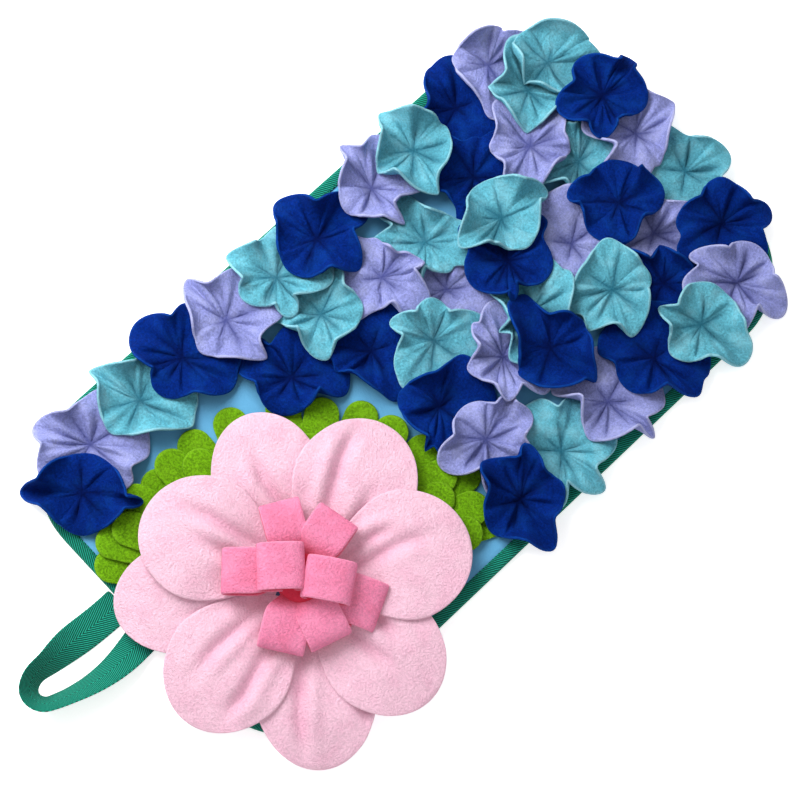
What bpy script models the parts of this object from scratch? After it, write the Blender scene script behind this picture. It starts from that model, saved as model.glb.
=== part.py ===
"""Snuffle mat: a soft base cloth with a taped edge, covered in gathered fleece rosettes and one big flower.

Frame: +X across the mat, +Y along it towards the end without the flower, +Z up.
The origin is the middle of the underside, where the mat lies on the floor. Tables are in millimetres.
"""

import math
from collections import namedtuple

import bmesh
import bpy
from mathutils import Matrix, Vector
from mathutils.bvhtree import BVHTree

MM = 0.001
FULL_TURN = 2 * math.pi
SKY = 200
DOWN = Vector((0, 0, -1))
SHARP_ANGLE = math.radians(60)
CUT_PAST = 1

# Driving dimensions, in millimetres.
MAT_WIDTH = 300
MAT_LENGTH = 540
MAT_CORNER = 70
GAP = 0.3
BASE_THICK = 3
TAPE_THICK = 1
TAPE_WIDTH = 25
BINDING_SHOWS = 10
STEP_INSET = 14
STEP_RUN = 6
CORNER_STEPS = 6

FLEECE_THICK = 2.4
DISC_RADIUS = 44
NEIGHBOUR_REACH = 90
FACING_LEAST = 0.2
LAP = 7
CROWN = 7
CROWN_FROM_SLACK = 0.1
RIM = 3
RIM_FROM_SLACK = 0.3
RIM_LEAST = 1
OUTWARD_FALL = 0.6
COVERED_FALL = 0.6
WAVE = 5
CREASE_DRAW = 0.07
BUNCH = math.radians(15)
UNEVEN = 0.1
SPOKE_STEP = math.radians(27)
RING_SHARES = (0, 0.36, 0.7, 1)
LOBE_RISE = (0, 0.8, 1)
CREASE_RISE = (0, 0.2, 0.55)
LIFT_STEP = 0.3
MOST_LIFTS = 120

FLOWER = Vector((58, -167, 0))
PETAL_THICK = 2.4
PETAL_CELLS = 6
PETAL_START = 17
PETAL_STEP = 3
PETAL_NECK = 0.5
NECK_SHARE = 0.65
ARCH_SHARE = 0.62
SIDE_DROP = 3
PLEAT_DEPTH = 5
PLEAT_WIDTH = 7
PLEAT_SHARE = 0.6
PLEAT_DEEPEST = 0.25

LEAF_THICK = 2
TAB_RADIUS = 13
TAB_STEPS = 4
COLLAR_INNER = 84
COLLAR_VALLEY = 108
COLLAR_ROWS = 2
VALLEY_GAP = math.radians(1.2)
VALLEY_STEP = math.radians(12)

LOOP_WALL = 2.4
LOOP_NECK = 0.44
NECK_RUN = 17
LOOP_STEPS = 12
LOOP_FLATTEN = 0.6
LOOP_ROUND = 0.8
ROOT_RADIUS = 15.7
ROOT_STEPS = 20
ROOT_TOP = 33

BASE_TOP = BASE_THICK
BAND_TOP = TAPE_THICK + GAP + BASE_THICK
BINDING_TOP = BAND_TOP + GAP + TAPE_THICK

Rosette = namedtuple("Rosette", "colour x y turn long cross folds level")
Petal = namedtuple("Petal", "turn reach width crown rim level")
Tab = namedtuple("Tab", "turn reach")
Loop = namedtuple("Loop", "x y turn length width height under")
TapePoint = namedtuple("TapePoint", "x y tilt")

COLOURS = {
    "tape": (24, 136, 112),
    "base": (74, 140, 180),
    "lavender": (162, 156, 216),
    "aqua": (100, 190, 205),
    "royal": (8, 48, 140),
    "petal": (248, 203, 226),
    "loop": (252, 140, 180),
    "leaf": (115, 168, 26),
}

# One row for each rosette: where it is stitched, which way its widest lobe points, its half length
# and half width, how many creases run from the stitch, and its place in the pile.
ROSETTES = (
    Rosette("royal", -95, -238, 217, 43, 26, 5, 1),
    Rosette("lavender", -118, -210, 222, 43, 31, 5, 0),
    Rosette("aqua", -118, -163, 202, 40, 28, 5, 1),
    Rosette("royal", -120, -119, 190, 42, 29, 5, 2),
    Rosette("lavender", -119, -77, 178, 40, 27, 5, 3),
    Rosette("aqua", -118, -28, 195, 38, 26, 6, 4),
    Rosette("royal", -119, 13, 181, 37, 28, 5, 5),
    Rosette("lavender", -121, 72, 171, 37, 25, 5, 6),
    Rosette("aqua", -120, 113, 166, 33, 26, 5, 7),
    Rosette("royal", -124, 162, 167, 34, 28, 5, 0),
    Rosette("lavender", -131, 202, 133, 30, 24, 5, 1),
    Rosette("aqua", -102, 236, 90, 34, 25, 5, 3),
    Rosette("aqua", -96, 209, 313, 29, 26, 5, 2),
    Rosette("royal", -55, 248, 95, 36, 29, 6, 3),
    Rosette("lavender", -17, 247, 92, 37, 27, 5, 1),
    Rosette("aqua", 29, 255, 72, 34, 26, 5, 0),
    Rosette("royal", 76, 246, 56, 36, 29, 5, 1),
    Rosette("lavender", 116, 222, 20, 40, 28, 5, 2),
    Rosette("aqua", 121, 177, 19, 39, 28, 5, 4),
    Rosette("royal", 115, 135, 11, 42, 29, 5, 2),
    Rosette("lavender", 115, 87, 2, 43, 29, 6, 1),
    Rosette("aqua", 118, 36, 3, 39, 28, 5, 0),
    Rosette("royal", 122, -11, 344, 42, 27, 6, 4),
    Rosette("royal", -76, 134, 217, 33, 27, 5, 0),
    Rosette("lavender", -63, 180, 327, 30, 27, 5, 1),
    Rosette("aqua", -31, 201, 212, 29, 27, 4, 0),
    Rosette("royal", 13, 197, 47, 33, 28, 5, 1),
    Rosette("lavender", 47, 203, 2, 31, 26, 4, 0),
    Rosette("lavender", 11, 152, 322, 39, 26, 6, 0),
    Rosette("royal", 79, 179, 327, 33, 26, 5, 1),
    Rosette("aqua", 57, 148, 332, 34, 28, 5, 3),
    Rosette("aqua", -38, 125, 87, 35, 26, 5, 7),
    Rosette("aqua", -63, 71, 167, 30, 27, 5, 1),
    Rosette("lavender", -65, 29, 217, 38, 27, 6, 1),
    Rosette("royal", -11, 106, 317, 34, 29, 5, 6),
    Rosette("lavender", -27, 59, 17, 32, 24, 5, 0),
    Rosette("aqua", 28, 94, 87, 37, 24, 5, 5),
    Rosette("aqua", -75, -23, 142, 31, 27, 5, 1),
    Rosette("royal", -56, -70, 37, 36, 27, 5, 0),
    Rosette("royal", -31, -14, 347, 34, 28, 5, 0),
    Rosette("aqua", -5, 24, 57, 35, 28, 6, 1),
    Rosette("lavender", 38, 54, 322, 33, 26, 6, 4),
    Rosette("royal", 58, 82, 2, 38, 26, 5, 5),
    Rosette("royal", 33, -6, 297, 33, 28, 5, 2),
    Rosette("lavender", 74, 1, 72, 35, 25, 5, 3),
)

# One row for each petal: its direction from the flower's middle, the reach of its tip, its full width,
# the height of its arch and of its rim, and its place in the pile.
PETALS = (
    Petal(155, 127, 82, 13, 8, 0),
    Petal(235, 134, 84, 12, 4, 0),
    Petal(324, 134, 88, 12, 4, 0),
    Petal(108, 128, 92, 14, 9, 1),
    Petal(5, 125, 88, 13, 6, 1),
    Petal(277, 128, 92, 13, 5, 1),
    Petal(60, 124, 96, 15, 10, 2),
    Petal(204, 122, 92, 15, 10, 2),
)

# The leaves are cut in three layers, each a band with round tabs. One row for each tab.
COLLARS = {
    "leaf_collar_low": (
        Tab(65, 155),
        Tab(80, 154),
        Tab(94, 143),
        Tab(117, 141),
        Tab(143, 141),
        Tab(161, 139),
        Tab(175, 138),
        Tab(193, 137),
        Tab(208, 156),
        Tab(222, 148),
    ),
    "leaf_collar_mid": (
        Tab(70, 147),
        Tab(84, 139),
        Tab(106, 140),
        Tab(130, 136),
        Tab(185, 138),
        Tab(201, 145),
        Tab(215, 150),
    ),
    "leaf_collar_top": (Tab(63, 136), Tab(78, 128), Tab(178, 124), Tab(210, 141)),
}

# One row for each loop of the flower's middle, measured from the flower's middle: six lie around
# the root and two stand on top of it.
LOOPS = (
    Loop(-29, -21, 216, 47, 28, 12, 19),
    Loop(-34, 11, 162, 47, 28, 12, 19),
    Loop(-12, 33, 110, 47, 28, 12, 19),
    Loop(29, 20, 34, 47, 28, 12, 19),
    Loop(33, -12, 340, 47, 28, 12, 19),
    Loop(13, -33, 291, 47, 28, 12, 19),
    Loop(-17, -4, 190, 32, 29, 12, 32),
    Loop(16, 11, 35, 33, 29, 12, 32),
)

# The hanging loop's inner edge, from one end to the other, with the lean of the tape at each point.
HANGING_TAPE = (
    TapePoint(-7, -270.4, 0),
    TapePoint(-7, -282, 0),
    TapePoint(-7.5, -295, 2),
    TapePoint(-8.5, -308, 10),
    TapePoint(-10.5, -322, 28),
    TapePoint(-13, -336, 48),
    TapePoint(-15, -346, 58),
    TapePoint(-14, -351.5, 62),
    TapePoint(-11.5, -354.2, 62),
    TapePoint(-8.5, -354.4, 62),
    TapePoint(-5.5, -352.3, 60),
    TapePoint(-3.5, -347.5, 58),
    TapePoint(-0.5, -338, 55),
    TapePoint(2, -324, 47),
    TapePoint(2.5, -310, 36),
    TapePoint(1, -296, 22),
    TapePoint(-1.5, -283, 8),
    TapePoint(-3, -270.4, 0),
)


def clear_scene():
    for old in list(bpy.data.objects):
        bpy.data.objects.remove(old, do_unlink=True)


def new_collection(name):
    made = bpy.data.collections.new(name)
    bpy.context.scene.collection.children.link(made)
    return made


def linear(channel):
    share = channel / 255
    return share / 12.92 if share <= 0.04045 else ((share + 0.055) / 1.055) ** 2.4


def cloth_material(colour):
    made = bpy.data.materials.get(colour) or bpy.data.materials.new(colour)
    made.use_nodes = True
    shader = made.node_tree.nodes["Principled BSDF"]
    shader.inputs["Base Color"].default_value = (*map(linear, COLOURS[colour]), 1)
    shader.inputs["Roughness"].default_value = 0.9
    shader.inputs["Metallic"].default_value = 0
    return made


def make_object(name, bm, colour, collection):
    """Turn a mesh worked in millimetres into a finished object in metres."""
    bmesh.ops.scale(bm, vec=(MM, MM, MM), verts=bm.verts[:])
    mesh = bpy.data.meshes.new(name)
    bm.to_mesh(mesh)
    bm.free()
    mesh.materials.append(cloth_material(colour))
    mesh.shade_smooth()
    mesh.set_sharp_from_angle(angle=SHARP_ANGLE)
    made = bpy.data.objects.new(name, mesh)
    collection.objects.link(made)
    return made


def thicken(bm, thickness):
    """Extrude an open sheet straight up into a closed slab."""
    made = bmesh.ops.extrude_face_region(bm, geom=bm.faces[:], use_keep_orig=True)
    tops = [item for item in made["geom"] if isinstance(item, bmesh.types.BMVert)]
    bmesh.ops.translate(bm, verts=tops, vec=(0, 0, thickness))
    bmesh.ops.recalc_face_normals(bm, faces=bm.faces[:])


def rounded_sheet(width, length, corner):
    """An open rectangle, one face, with its four corners rounded."""
    bm = bmesh.new()
    bmesh.ops.create_grid(bm, x_segments=1, y_segments=1, size=0.5)
    bmesh.ops.scale(bm, vec=(width, length, 1), verts=bm.verts[:])
    bmesh.ops.bevel(
        bm,
        geom=bm.verts[:],
        offset=corner,
        offset_type="OFFSET",
        segments=CORNER_STEPS,
        profile=0.5,
        affect="VERTICES",
        material=-1,
    )
    return bm


def slab(name, inset, bottom, top, collection):
    """A flat slab with the mat's outline, drawn in by the inset, between two heights."""
    bm = rounded_sheet(MAT_WIDTH - 2 * inset, MAT_LENGTH - 2 * inset, MAT_CORNER - inset)
    bmesh.ops.translate(bm, verts=bm.verts[:], vec=(0, 0, bottom))
    bmesh.ops.triangulate(bm, faces=bm.faces[:])
    thicken(bm, top - bottom)
    return make_object(name, bm, "tape", collection)


def make_base(collection):
    """The base cloth lies on the floor, and steps up into its binding along the edge."""
    edge = TAPE_THICK + GAP
    bm = rounded_sheet(MAT_WIDTH - 2 * edge, MAT_LENGTH - 2 * edge, MAT_CORNER - edge)
    for inset in (STEP_INSET - edge, STEP_RUN):
        middle = max(bm.faces, key=lambda face: face.calc_area())
        bmesh.ops.inset_region(
            bm, faces=[middle], thickness=inset, use_boundary=True, use_even_offset=True
        )
    middle = max(bm.faces, key=lambda face: face.calc_area())
    flat = set(middle.verts)
    for vert in bm.verts:
        vert.co.z = 0 if vert in flat else TAPE_THICK + GAP
    bmesh.ops.triangulate(bm, faces=bm.faces[:])
    thicken(bm, BASE_THICK)
    return make_object("base_cloth", bm, "base", collection)


def cut(target, cutter):
    cutter.hide_render = True
    cutter.display_type = "WIRE"
    modifier = target.modifiers.new(f"cut {cutter.name}", "BOOLEAN")
    modifier.operation = "DIFFERENCE"
    modifier.solver = "EXACT"
    modifier.object = cutter


def make_binding(collection, cutters):
    """Twill tape folded over the edge of the base cloth, above and below it."""
    binding = slab("edge_binding", 0, 0, BINDING_TOP, collection)
    window = slab("binding_window", BINDING_SHOWS, -CUT_PAST, BINDING_TOP + CUT_PAST, cutters)
    slot = slab("binding_slot", TAPE_THICK, TAPE_THICK, BAND_TOP + GAP, cutters)
    cut(binding, window)
    cut(binding, slot)
    return binding


def solid_tree(obj):
    """A search tree of the object as it stands, in millimetres."""
    graph = bpy.context.evaluated_depsgraph_get()
    bm = bmesh.new()
    bm.from_object(obj, graph)
    bmesh.ops.scale(bm, vec=(1 / MM, 1 / MM, 1 / MM), verts=bm.verts[:])
    tree = BVHTree.FromBMesh(bm)
    bm.free()
    return tree


def top_at(placed, point):
    """The height of the highest cloth at a point of the plan, or 0 where there is none."""
    start = Vector((point.x, point.y, SKY))
    hits = [tree.ray_cast(start, DOWN)[0] for tree in placed]
    return max((hit.z for hit in hits if hit), default=0)


def lay_over(bm, placed, thickness):
    """Lift an open sheet, point by point, until its cloth clears every piece already in place."""
    for vert in bm.verts:
        vert.co.z = max(vert.co.z, top_at(placed, vert.co) + GAP)
    home = bm.verts.layers.int.new("home")
    bm.verts.ensure_lookup_table()
    for vert in bm.verts:
        vert[home] = vert.index
    middle = sum((vert.co for vert in bm.verts), Vector()) / len(bm.verts)
    for _ in range(MOST_LIFTS):
        margin = bm.copy()
        bmesh.ops.translate(margin, verts=margin.verts[:], vec=(0, 0, -GAP))
        for vert in margin.verts:
            if vert.is_boundary:
                outward = vert.co - middle
                outward.z = 0
                vert.co += outward.normalized() * GAP
        thicken(margin, thickness + 2 * GAP)
        tree = BVHTree.FromBMesh(margin)
        margin.faces.ensure_lookup_table()
        home_of = margin.verts.layers.int["home"]
        touched = set()
        for other in placed:
            for mine, _ in tree.overlap(other):
                touched |= {vert[home_of] for vert in margin.faces[mine].verts}
        margin.free()
        if not touched:
            return
        for index in touched:
            bm.verts[index].co.z += LIFT_STEP


def crease_angles(piece):
    """Directions of the creases from the widest lobe, closer together at the two long ends."""
    share = FULL_TURN / piece.folds
    angles = []
    for number in range(piece.folds):
        even = (number + 0.5) * share
        uneven = UNEVEN * math.sin(0.7 * piece.x + 1.3 * piece.y + 2.1 * number)
        angles.append(even - BUNCH * math.sin(2 * even) + uneven)
    return angles


def spokes_of(piece):
    """Pairs of a direction from the widest lobe and how near it is to a crease, from 1 to 0."""
    creases = crease_angles(piece)
    found = []
    for start, end in zip(creases, creases[1:] + [creases[0] + FULL_TURN]):
        steps = max(2, round((end - start) / SPOKE_STEP))
        for step in range(steps):
            found.append((start + (end - start) * step / steps, 1 if step == 0 else 0))
    return found


def reach_of(piece, angle, neighbours):
    """How far the gathered rim lies from the stitch, and how much of it a higher neighbour covers."""
    reach = 1 / math.hypot(math.cos(angle) / piece.long, math.sin(angle) / piece.cross)
    turned = angle + math.radians(piece.turn)
    direction = Vector((math.cos(turned), math.sin(turned)))
    covered = 0
    for other in neighbours:
        apart = Vector((other.x - piece.x, other.y - piece.y))
        facing = direction.dot(apart.normalized())
        if facing < FACING_LEAST:
            continue
        halfway = apart.length / 2 / facing
        if other.level > piece.level and reach > halfway:
            covered = 1
        reach = min(reach, halfway + LAP)
    return reach, covered


def rosette_point(piece, ring, spoke, neighbours):
    """Where a point of the flat disc lies once its middle is gathered and stitched down."""
    angle, crease = spoke
    reach, covered = reach_of(piece, angle, neighbours)
    reach *= 1 - CREASE_DRAW * crease
    slack = math.sqrt(max(DISC_RADIUS**2 - reach**2, 0))
    if ring < len(LOBE_RISE):
        rise = CREASE_RISE[ring] if crease else LOBE_RISE[ring]
        height = rise * (CROWN + CROWN_FROM_SLACK * slack)
    else:
        outward = max(0, math.cos(angle)) ** 2
        stand = (1 - OUTWARD_FALL * outward) * (1 - COVERED_FALL * covered)
        height = RIM + RIM_FROM_SLACK * slack * stand - WAVE * crease * (1 - outward)
        height = max(height, RIM_LEAST)
    turned = angle + math.radians(piece.turn)
    plan = Vector((math.cos(turned), math.sin(turned), 0)) * reach * RING_SHARES[ring]
    return Vector((piece.x, piece.y, BASE_TOP + GAP + height)) + plan


def make_rosette(name, piece, placed, collection):
    """A disc of fleece, spun flat, then moved point by point into its gathered folds."""
    spokes = spokes_of(piece)
    neighbours = [
        other
        for other in ROSETTES
        if other is not piece
        and math.dist((other.x, other.y), (piece.x, piece.y)) < NEIGHBOUR_REACH
    ]
    bm = bmesh.new()
    line = [bm.verts.new((ring, 0, 0)) for ring in range(len(RING_SHARES))]
    edges = [bm.edges.new(pair) for pair in zip(line, line[1:])]
    bmesh.ops.spin(
        bm, geom=line + edges, cent=(0, 0, 0), axis=(0, 0, 1), angle=FULL_TURN, steps=len(spokes)
    )
    bmesh.ops.remove_doubles(bm, verts=bm.verts[:], dist=0.001)
    bmesh.ops.triangulate(bm, faces=bm.faces[:])
    for vert in bm.verts:
        ring = round(vert.co.xy.length)
        number = round(math.atan2(vert.co.y, vert.co.x) / FULL_TURN * len(spokes))
        vert.co = rosette_point(piece, ring, spokes[number % len(spokes)], neighbours)
    lay_over(bm, placed, FLEECE_THICK)
    thicken(bm, FLEECE_THICK)
    return make_object(name, bm, piece.colour, collection)


def petal_point(piece, along, across):
    """A point of a petal: a round head that narrows to a pleated root."""
    run = along * math.sqrt(1 - across**2 / 2)
    side = across * math.sqrt(1 - along**2 / 2)
    share = (run + 1) / 2
    distance = PETAL_START + share * (piece.reach - PETAL_START)
    spread = math.sin(min(share / NECK_SHARE, 1) * math.pi / 2)
    offset = side * piece.width / 2 * (PETAL_NECK + (1 - PETAL_NECK) * spread)
    rise = min(share / ARCH_SHARE, 1)
    arch = rise * rise * (3 - 2 * rise)
    fall = max(0, share - ARCH_SHARE) / (1 - ARCH_SHARE)
    height = PETAL_STEP * piece.level + piece.crown * arch
    height -= (piece.crown - piece.rim) * fall**2
    height -= SIDE_DROP * side**2 * math.sin(math.pi * share)
    pleat = math.exp(-((offset / PLEAT_WIDTH) ** 2)) * max(0, 1 - share / PLEAT_SHARE)
    height -= PLEAT_DEPTH * pleat * math.sin(min(share / PLEAT_DEEPEST, 1) * math.pi / 2)
    turn = math.radians(piece.turn)
    ahead = Vector((math.cos(turn), math.sin(turn), 0))
    aside = Vector((-math.sin(turn), math.cos(turn), 0))
    lift = Vector((0, 0, BASE_TOP + GAP + max(height, 0)))
    return FLOWER + ahead * distance + aside * offset + lift


def make_petal(name, piece, placed, collection):
    bm = bmesh.new()
    bmesh.ops.create_grid(bm, x_segments=PETAL_CELLS, y_segments=PETAL_CELLS, size=1)
    for vert in bm.verts:
        vert.co = petal_point(piece, vert.co.x, vert.co.y)
    bmesh.ops.triangulate(bm, faces=bm.faces[:])
    lay_over(bm, placed, PETAL_THICK)
    thicken(bm, PETAL_THICK)
    return make_object(name, bm, "petal", collection)


def collar_columns(tabs):
    """Pairs of a direction and the leaf layer's reach there: round tabs with shallow valleys between."""
    columns = []
    for tab in tabs:
        head = tab.reach - TAB_RADIUS
        half = math.asin(TAB_RADIUS / head)
        turn = math.radians(tab.turn)
        start = turn - half - VALLEY_GAP
        if columns:
            last = columns[-1][0]
            steps = max(1, round((start - last) / VALLEY_STEP))
            for step in range(1, steps):
                columns.append((last + (start - last) * step / steps, COLLAR_VALLEY))
        columns.append((start, COLLAR_VALLEY))
        for step in range(TAB_STEPS + 1):
            offset = half * math.sin(math.pi * (step / TAB_STEPS - 0.5))
            chord = math.sqrt(max(TAB_RADIUS**2 - (head * math.sin(offset)) ** 2, 0))
            columns.append((turn + offset, head * math.cos(offset) + chord))
        columns.append((turn + half + VALLEY_GAP, COLLAR_VALLEY))
    return columns


def make_collar(name, tabs, placed, collection):
    """A leaf layer: a flat grid of columns, each moved to its direction and reach."""
    columns = collar_columns(tabs)
    bm = bmesh.new()
    bmesh.ops.create_grid(bm, x_segments=len(columns) - 1, y_segments=COLLAR_ROWS, size=0.5)
    for vert in bm.verts:
        turn, reach = columns[round((vert.co.x + 0.5) * (len(columns) - 1))]
        distance = COLLAR_INNER + (reach - COLLAR_INNER) * (vert.co.y + 0.5)
        plan = Vector((math.cos(turn), math.sin(turn), 0)) * distance
        vert.co = FLOWER + plan + Vector((0, 0, BASE_TOP + GAP))
    bmesh.ops.triangulate(bm, faces=bm.faces[:])
    lay_over(bm, placed, LEAF_THICK)
    thicken(bm, LEAF_THICK)
    return make_object(name, bm, "leaf", collection)


def make_band(name, loop, collection):
    """One loop of fleece: an oval ring of strip, on its side, pointing away from the middle."""
    bm = bmesh.new()
    bmesh.ops.create_circle(bm, segments=LOOP_STEPS, radius=1)
    for vert in bm.verts:
        flat = math.copysign(abs(vert.co.x) ** LOOP_FLATTEN, vert.co.x)
        tall = math.copysign(abs(vert.co.y) ** LOOP_ROUND, vert.co.y)
        vert.co = Vector((flat * loop.length / 2, -loop.width / 2, tall * loop.height / 2))
    band = bmesh.ops.extrude_edge_only(bm, edges=bm.edges[:])["geom"]
    far = [item for item in band if isinstance(item, bmesh.types.BMVert)]
    bmesh.ops.translate(bm, verts=far, vec=(0, loop.width, 0))
    for vert in bm.verts:
        share = min(1, (vert.co.x + loop.length / 2) / NECK_RUN)
        vert.co.y *= LOOP_NECK + (1 - LOOP_NECK) * share
    bmesh.ops.recalc_face_normals(bm, faces=bm.faces[:])
    bmesh.ops.solidify(bm, geom=bm.faces[:], thickness=LOOP_WALL)
    turned = Matrix.Rotation(math.radians(loop.turn), 4, "Z")
    middle = FLOWER + Vector((loop.x, loop.y, loop.under + loop.height / 2))
    bmesh.ops.transform(bm, matrix=Matrix.Translation(middle) @ turned, verts=bm.verts[:])
    bmesh.ops.recalc_face_normals(bm, faces=bm.faces[:])
    return make_object(name, bm, "loop", collection)


def make_centre(collection, cutters):
    """The rolled root of the flower's middle, with its loops sewn into one piece with it."""
    bm = bmesh.new()
    low = BASE_TOP + GAP
    bmesh.ops.create_cone(
        bm,
        cap_ends=True,
        cap_tris=False,
        segments=ROOT_STEPS,
        radius1=ROOT_RADIUS,
        radius2=ROOT_RADIUS,
        depth=ROOT_TOP - low,
    )
    bmesh.ops.translate(bm, verts=bm.verts[:], vec=FLOWER + Vector((0, 0, (ROOT_TOP + low) / 2)))
    centre = make_object("centre_loops", bm, "loop", collection)
    for number, loop in enumerate(LOOPS, 1):
        band = make_band(f"loop_band_{number}", loop, cutters)
        band.hide_render = True
        band.display_type = "WIRE"
        joined = centre.modifiers.new(f"join {band.name}", "BOOLEAN")
        joined.operation = "UNION"
        joined.solver = "EXACT"
        joined.object = band
    return centre


def make_hanging_loop(collection):
    """A loop of the same tape: a flat strip along its inner edge, its outer edge rising at the tip."""
    bm = bmesh.new()
    count = len(HANGING_TAPE)
    bmesh.ops.create_grid(bm, x_segments=count - 1, y_segments=1, size=0.5)
    for vert in bm.verts:
        number = round((vert.co.x + 0.5) * (count - 1))
        here = HANGING_TAPE[number]
        before = HANGING_TAPE[max(number - 1, 0)]
        after = HANGING_TAPE[min(number + 1, count - 1)]
        ahead = Vector((after.x - before.x, after.y - before.y, 0)).normalized()
        outward = Vector((ahead.y, -ahead.x, 0))
        if number in (0, count - 1):
            outward = Vector((math.copysign(1, number - 0.5), 0, 0))
        tilt = math.radians(here.tilt)
        lean = outward * math.cos(tilt) + Vector((0, 0, math.sin(tilt)))
        share = vert.co.y + 0.5
        inner = Vector((here.x, here.y, TAPE_THICK))
        vert.co = inner + lean * (TAPE_WIDTH * share)
    loop = make_object("hanging_loop", bm, "tape", collection)
    solid = loop.modifiers.new("tape thickness", "SOLIDIFY")
    solid.thickness = TAPE_THICK * MM
    solid.offset = 0
    return loop


def main():
    clear_scene()
    parts = new_collection("snuffle_mat")
    cutters = new_collection("cutters")
    base = make_base(parts)
    binding = make_binding(parts, cutters)
    placed = [solid_tree(base), solid_tree(binding)]
    for name, tabs in COLLARS.items():
        collar = make_collar(name, tabs, placed, parts)
        placed.append(solid_tree(collar))
    order = sorted(enumerate(ROSETTES, 1), key=lambda row: row[1].level)
    for number, piece in order:
        rosette = make_rosette(f"rosette_{number:02d}", piece, placed, parts)
        placed.append(solid_tree(rosette))
    for number, piece in enumerate(PETALS, 1):
        petal = make_petal(f"petal_{number}", piece, placed, parts)
        placed.append(solid_tree(petal))
    make_centre(parts, cutters)
    make_hanging_loop(parts)


main()
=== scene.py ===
# %% [markdown]
# # A snuffle mat, dressed for its picture
#
# A snuffle mat is a flat cloth covered in gathered fleece, where a dog noses for hidden treats. This
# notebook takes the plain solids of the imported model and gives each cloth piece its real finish: the
# folds of the fleece, the cut edges, the twill of the tape and the fuzz that catches the light.
# The solids could be subdivided and painted, but a gathered disc owes its look to where its own rim
# rises and dips, so each piece is made again as a thin sheet, in the space that its solid holds.

import math
from collections import namedtuple

import bmesh
import bpy
import numpy as np
from mathutils import Matrix, Vector


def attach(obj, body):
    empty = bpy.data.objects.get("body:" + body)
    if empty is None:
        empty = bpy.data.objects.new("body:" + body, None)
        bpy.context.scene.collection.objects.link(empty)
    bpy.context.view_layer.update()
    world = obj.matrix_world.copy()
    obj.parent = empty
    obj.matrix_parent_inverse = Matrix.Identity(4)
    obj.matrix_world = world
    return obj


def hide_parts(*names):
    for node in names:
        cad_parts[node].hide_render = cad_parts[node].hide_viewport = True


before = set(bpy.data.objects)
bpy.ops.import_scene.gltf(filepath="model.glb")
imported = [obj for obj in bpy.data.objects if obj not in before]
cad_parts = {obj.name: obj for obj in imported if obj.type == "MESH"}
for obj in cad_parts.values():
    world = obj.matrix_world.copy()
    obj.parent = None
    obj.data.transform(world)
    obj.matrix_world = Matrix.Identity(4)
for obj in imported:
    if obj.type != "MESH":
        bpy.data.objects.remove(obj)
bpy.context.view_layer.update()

# %% [markdown]
# ## Sizes
#
# Every size below is a real one in millimetres, measured from the middle of the mat's underside. The
# mesh of a piece is worked in millimetres and brought to metres in one last step, because a seamstress
# thinks in millimetres and a script is easier to check when it does too.

# %% Name the sizes of the mat
MM = 0.001
FULL_TURN = 2 * math.pi
MAT_WIDTH = 300
MAT_LENGTH = 540
MAT_CORNER = 70
BASE_THICK = 3
TAPE_THICK = 1
TAPE_WIDTH = 25
GAP = 0.3
BASE_TOP = BASE_THICK
FLEECE = 2.2
DISC_RADIUS = 44
FLOWER = np.array((58.0, -167.0))
print(f"mat {MAT_WIDTH} by {MAT_LENGTH} mm, discs {2 * DISC_RADIUS} mm across, fleece {FLEECE} mm thick")

# %% [markdown]
# ## Camera and light
#
# The camera looks down on the mat from about 77 degrees with a long lens, so the far end is hardly
# smaller than the near one. Its roll sets the mat on the diagonal. An orthographic camera would come
# close, but the rims of the fleece would then hide too little of what lies behind them.
# Soft things need soft light with a side to it: one wide lamp at the upper left models the folds, and
# a pale surround fills the shadows without hiding them.

# %% Set up the camera
LENS = 94.5
SENSOR = 36
LOOK_AT = Vector((9.3, -22.6, 0))
LOOK_FROM = 1537.9
ELEVATION = math.radians(77.52)
AZIMUTH = math.radians(-31.21)
ROLL = math.radians(15.56)

forward = Vector((
    math.sin(AZIMUTH) * math.cos(ELEVATION),
    math.cos(AZIMUTH) * math.cos(ELEVATION),
    -math.sin(ELEVATION),
))
level_right = Vector((math.cos(AZIMUTH), -math.sin(AZIMUTH), 0))
level_up = level_right.cross(forward)
right = level_right * math.cos(ROLL) + level_up * math.sin(ROLL)
up = level_up * math.cos(ROLL) - level_right * math.sin(ROLL)

lens = bpy.data.cameras.new("view")
lens.lens = LENS
lens.sensor_width = SENSOR
camera = bpy.data.objects.new("view", lens)
bpy.context.scene.collection.objects.link(camera)
turned = Matrix((right, up, -forward)).transposed().to_4x4()
camera.matrix_world = Matrix.Translation((LOOK_AT - forward * LOOK_FROM) * MM) @ turned
bpy.context.scene.camera = camera
print("camera at", [round(value, 3) for value in camera.location])

# %% Light the mat
KEY_SIZE = 0.8
KEY_POWER = 21
KEY_AWAY = 1.1
SKY_LIGHT = 0.62


def add_lamp(name, toward, away, size, power):
    """A square soft lamp that looks at the mat from a direction."""
    lamp = bpy.data.lights.new(name, "AREA")
    lamp.shape = "SQUARE"
    lamp.size = size
    lamp.energy = power
    holder = bpy.data.objects.new(name, lamp)
    bpy.context.scene.collection.objects.link(holder)
    place = LOOK_AT * MM + toward.normalized() * away
    holder.matrix_world = Matrix.Translation(place) @ toward.to_track_quat("Z", "Y").to_matrix().to_4x4()
    return holder


key_side = up * 0.75 - right * 0.8
add_lamp("key", key_side + Vector((0, 0, 0.95)), KEY_AWAY, KEY_SIZE, KEY_POWER)

world = bpy.data.worlds.new("surround")
world.use_nodes = True
world.node_tree.nodes["Background"].inputs["Color"].default_value = (1, 1, 1, 1)
world.node_tree.nodes["Background"].inputs["Strength"].default_value = SKY_LIGHT
bpy.context.scene.world = world
bpy.context.scene.view_settings.view_transform = "Standard"
print("lamps:", [light.name for light in bpy.data.lights])

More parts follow.
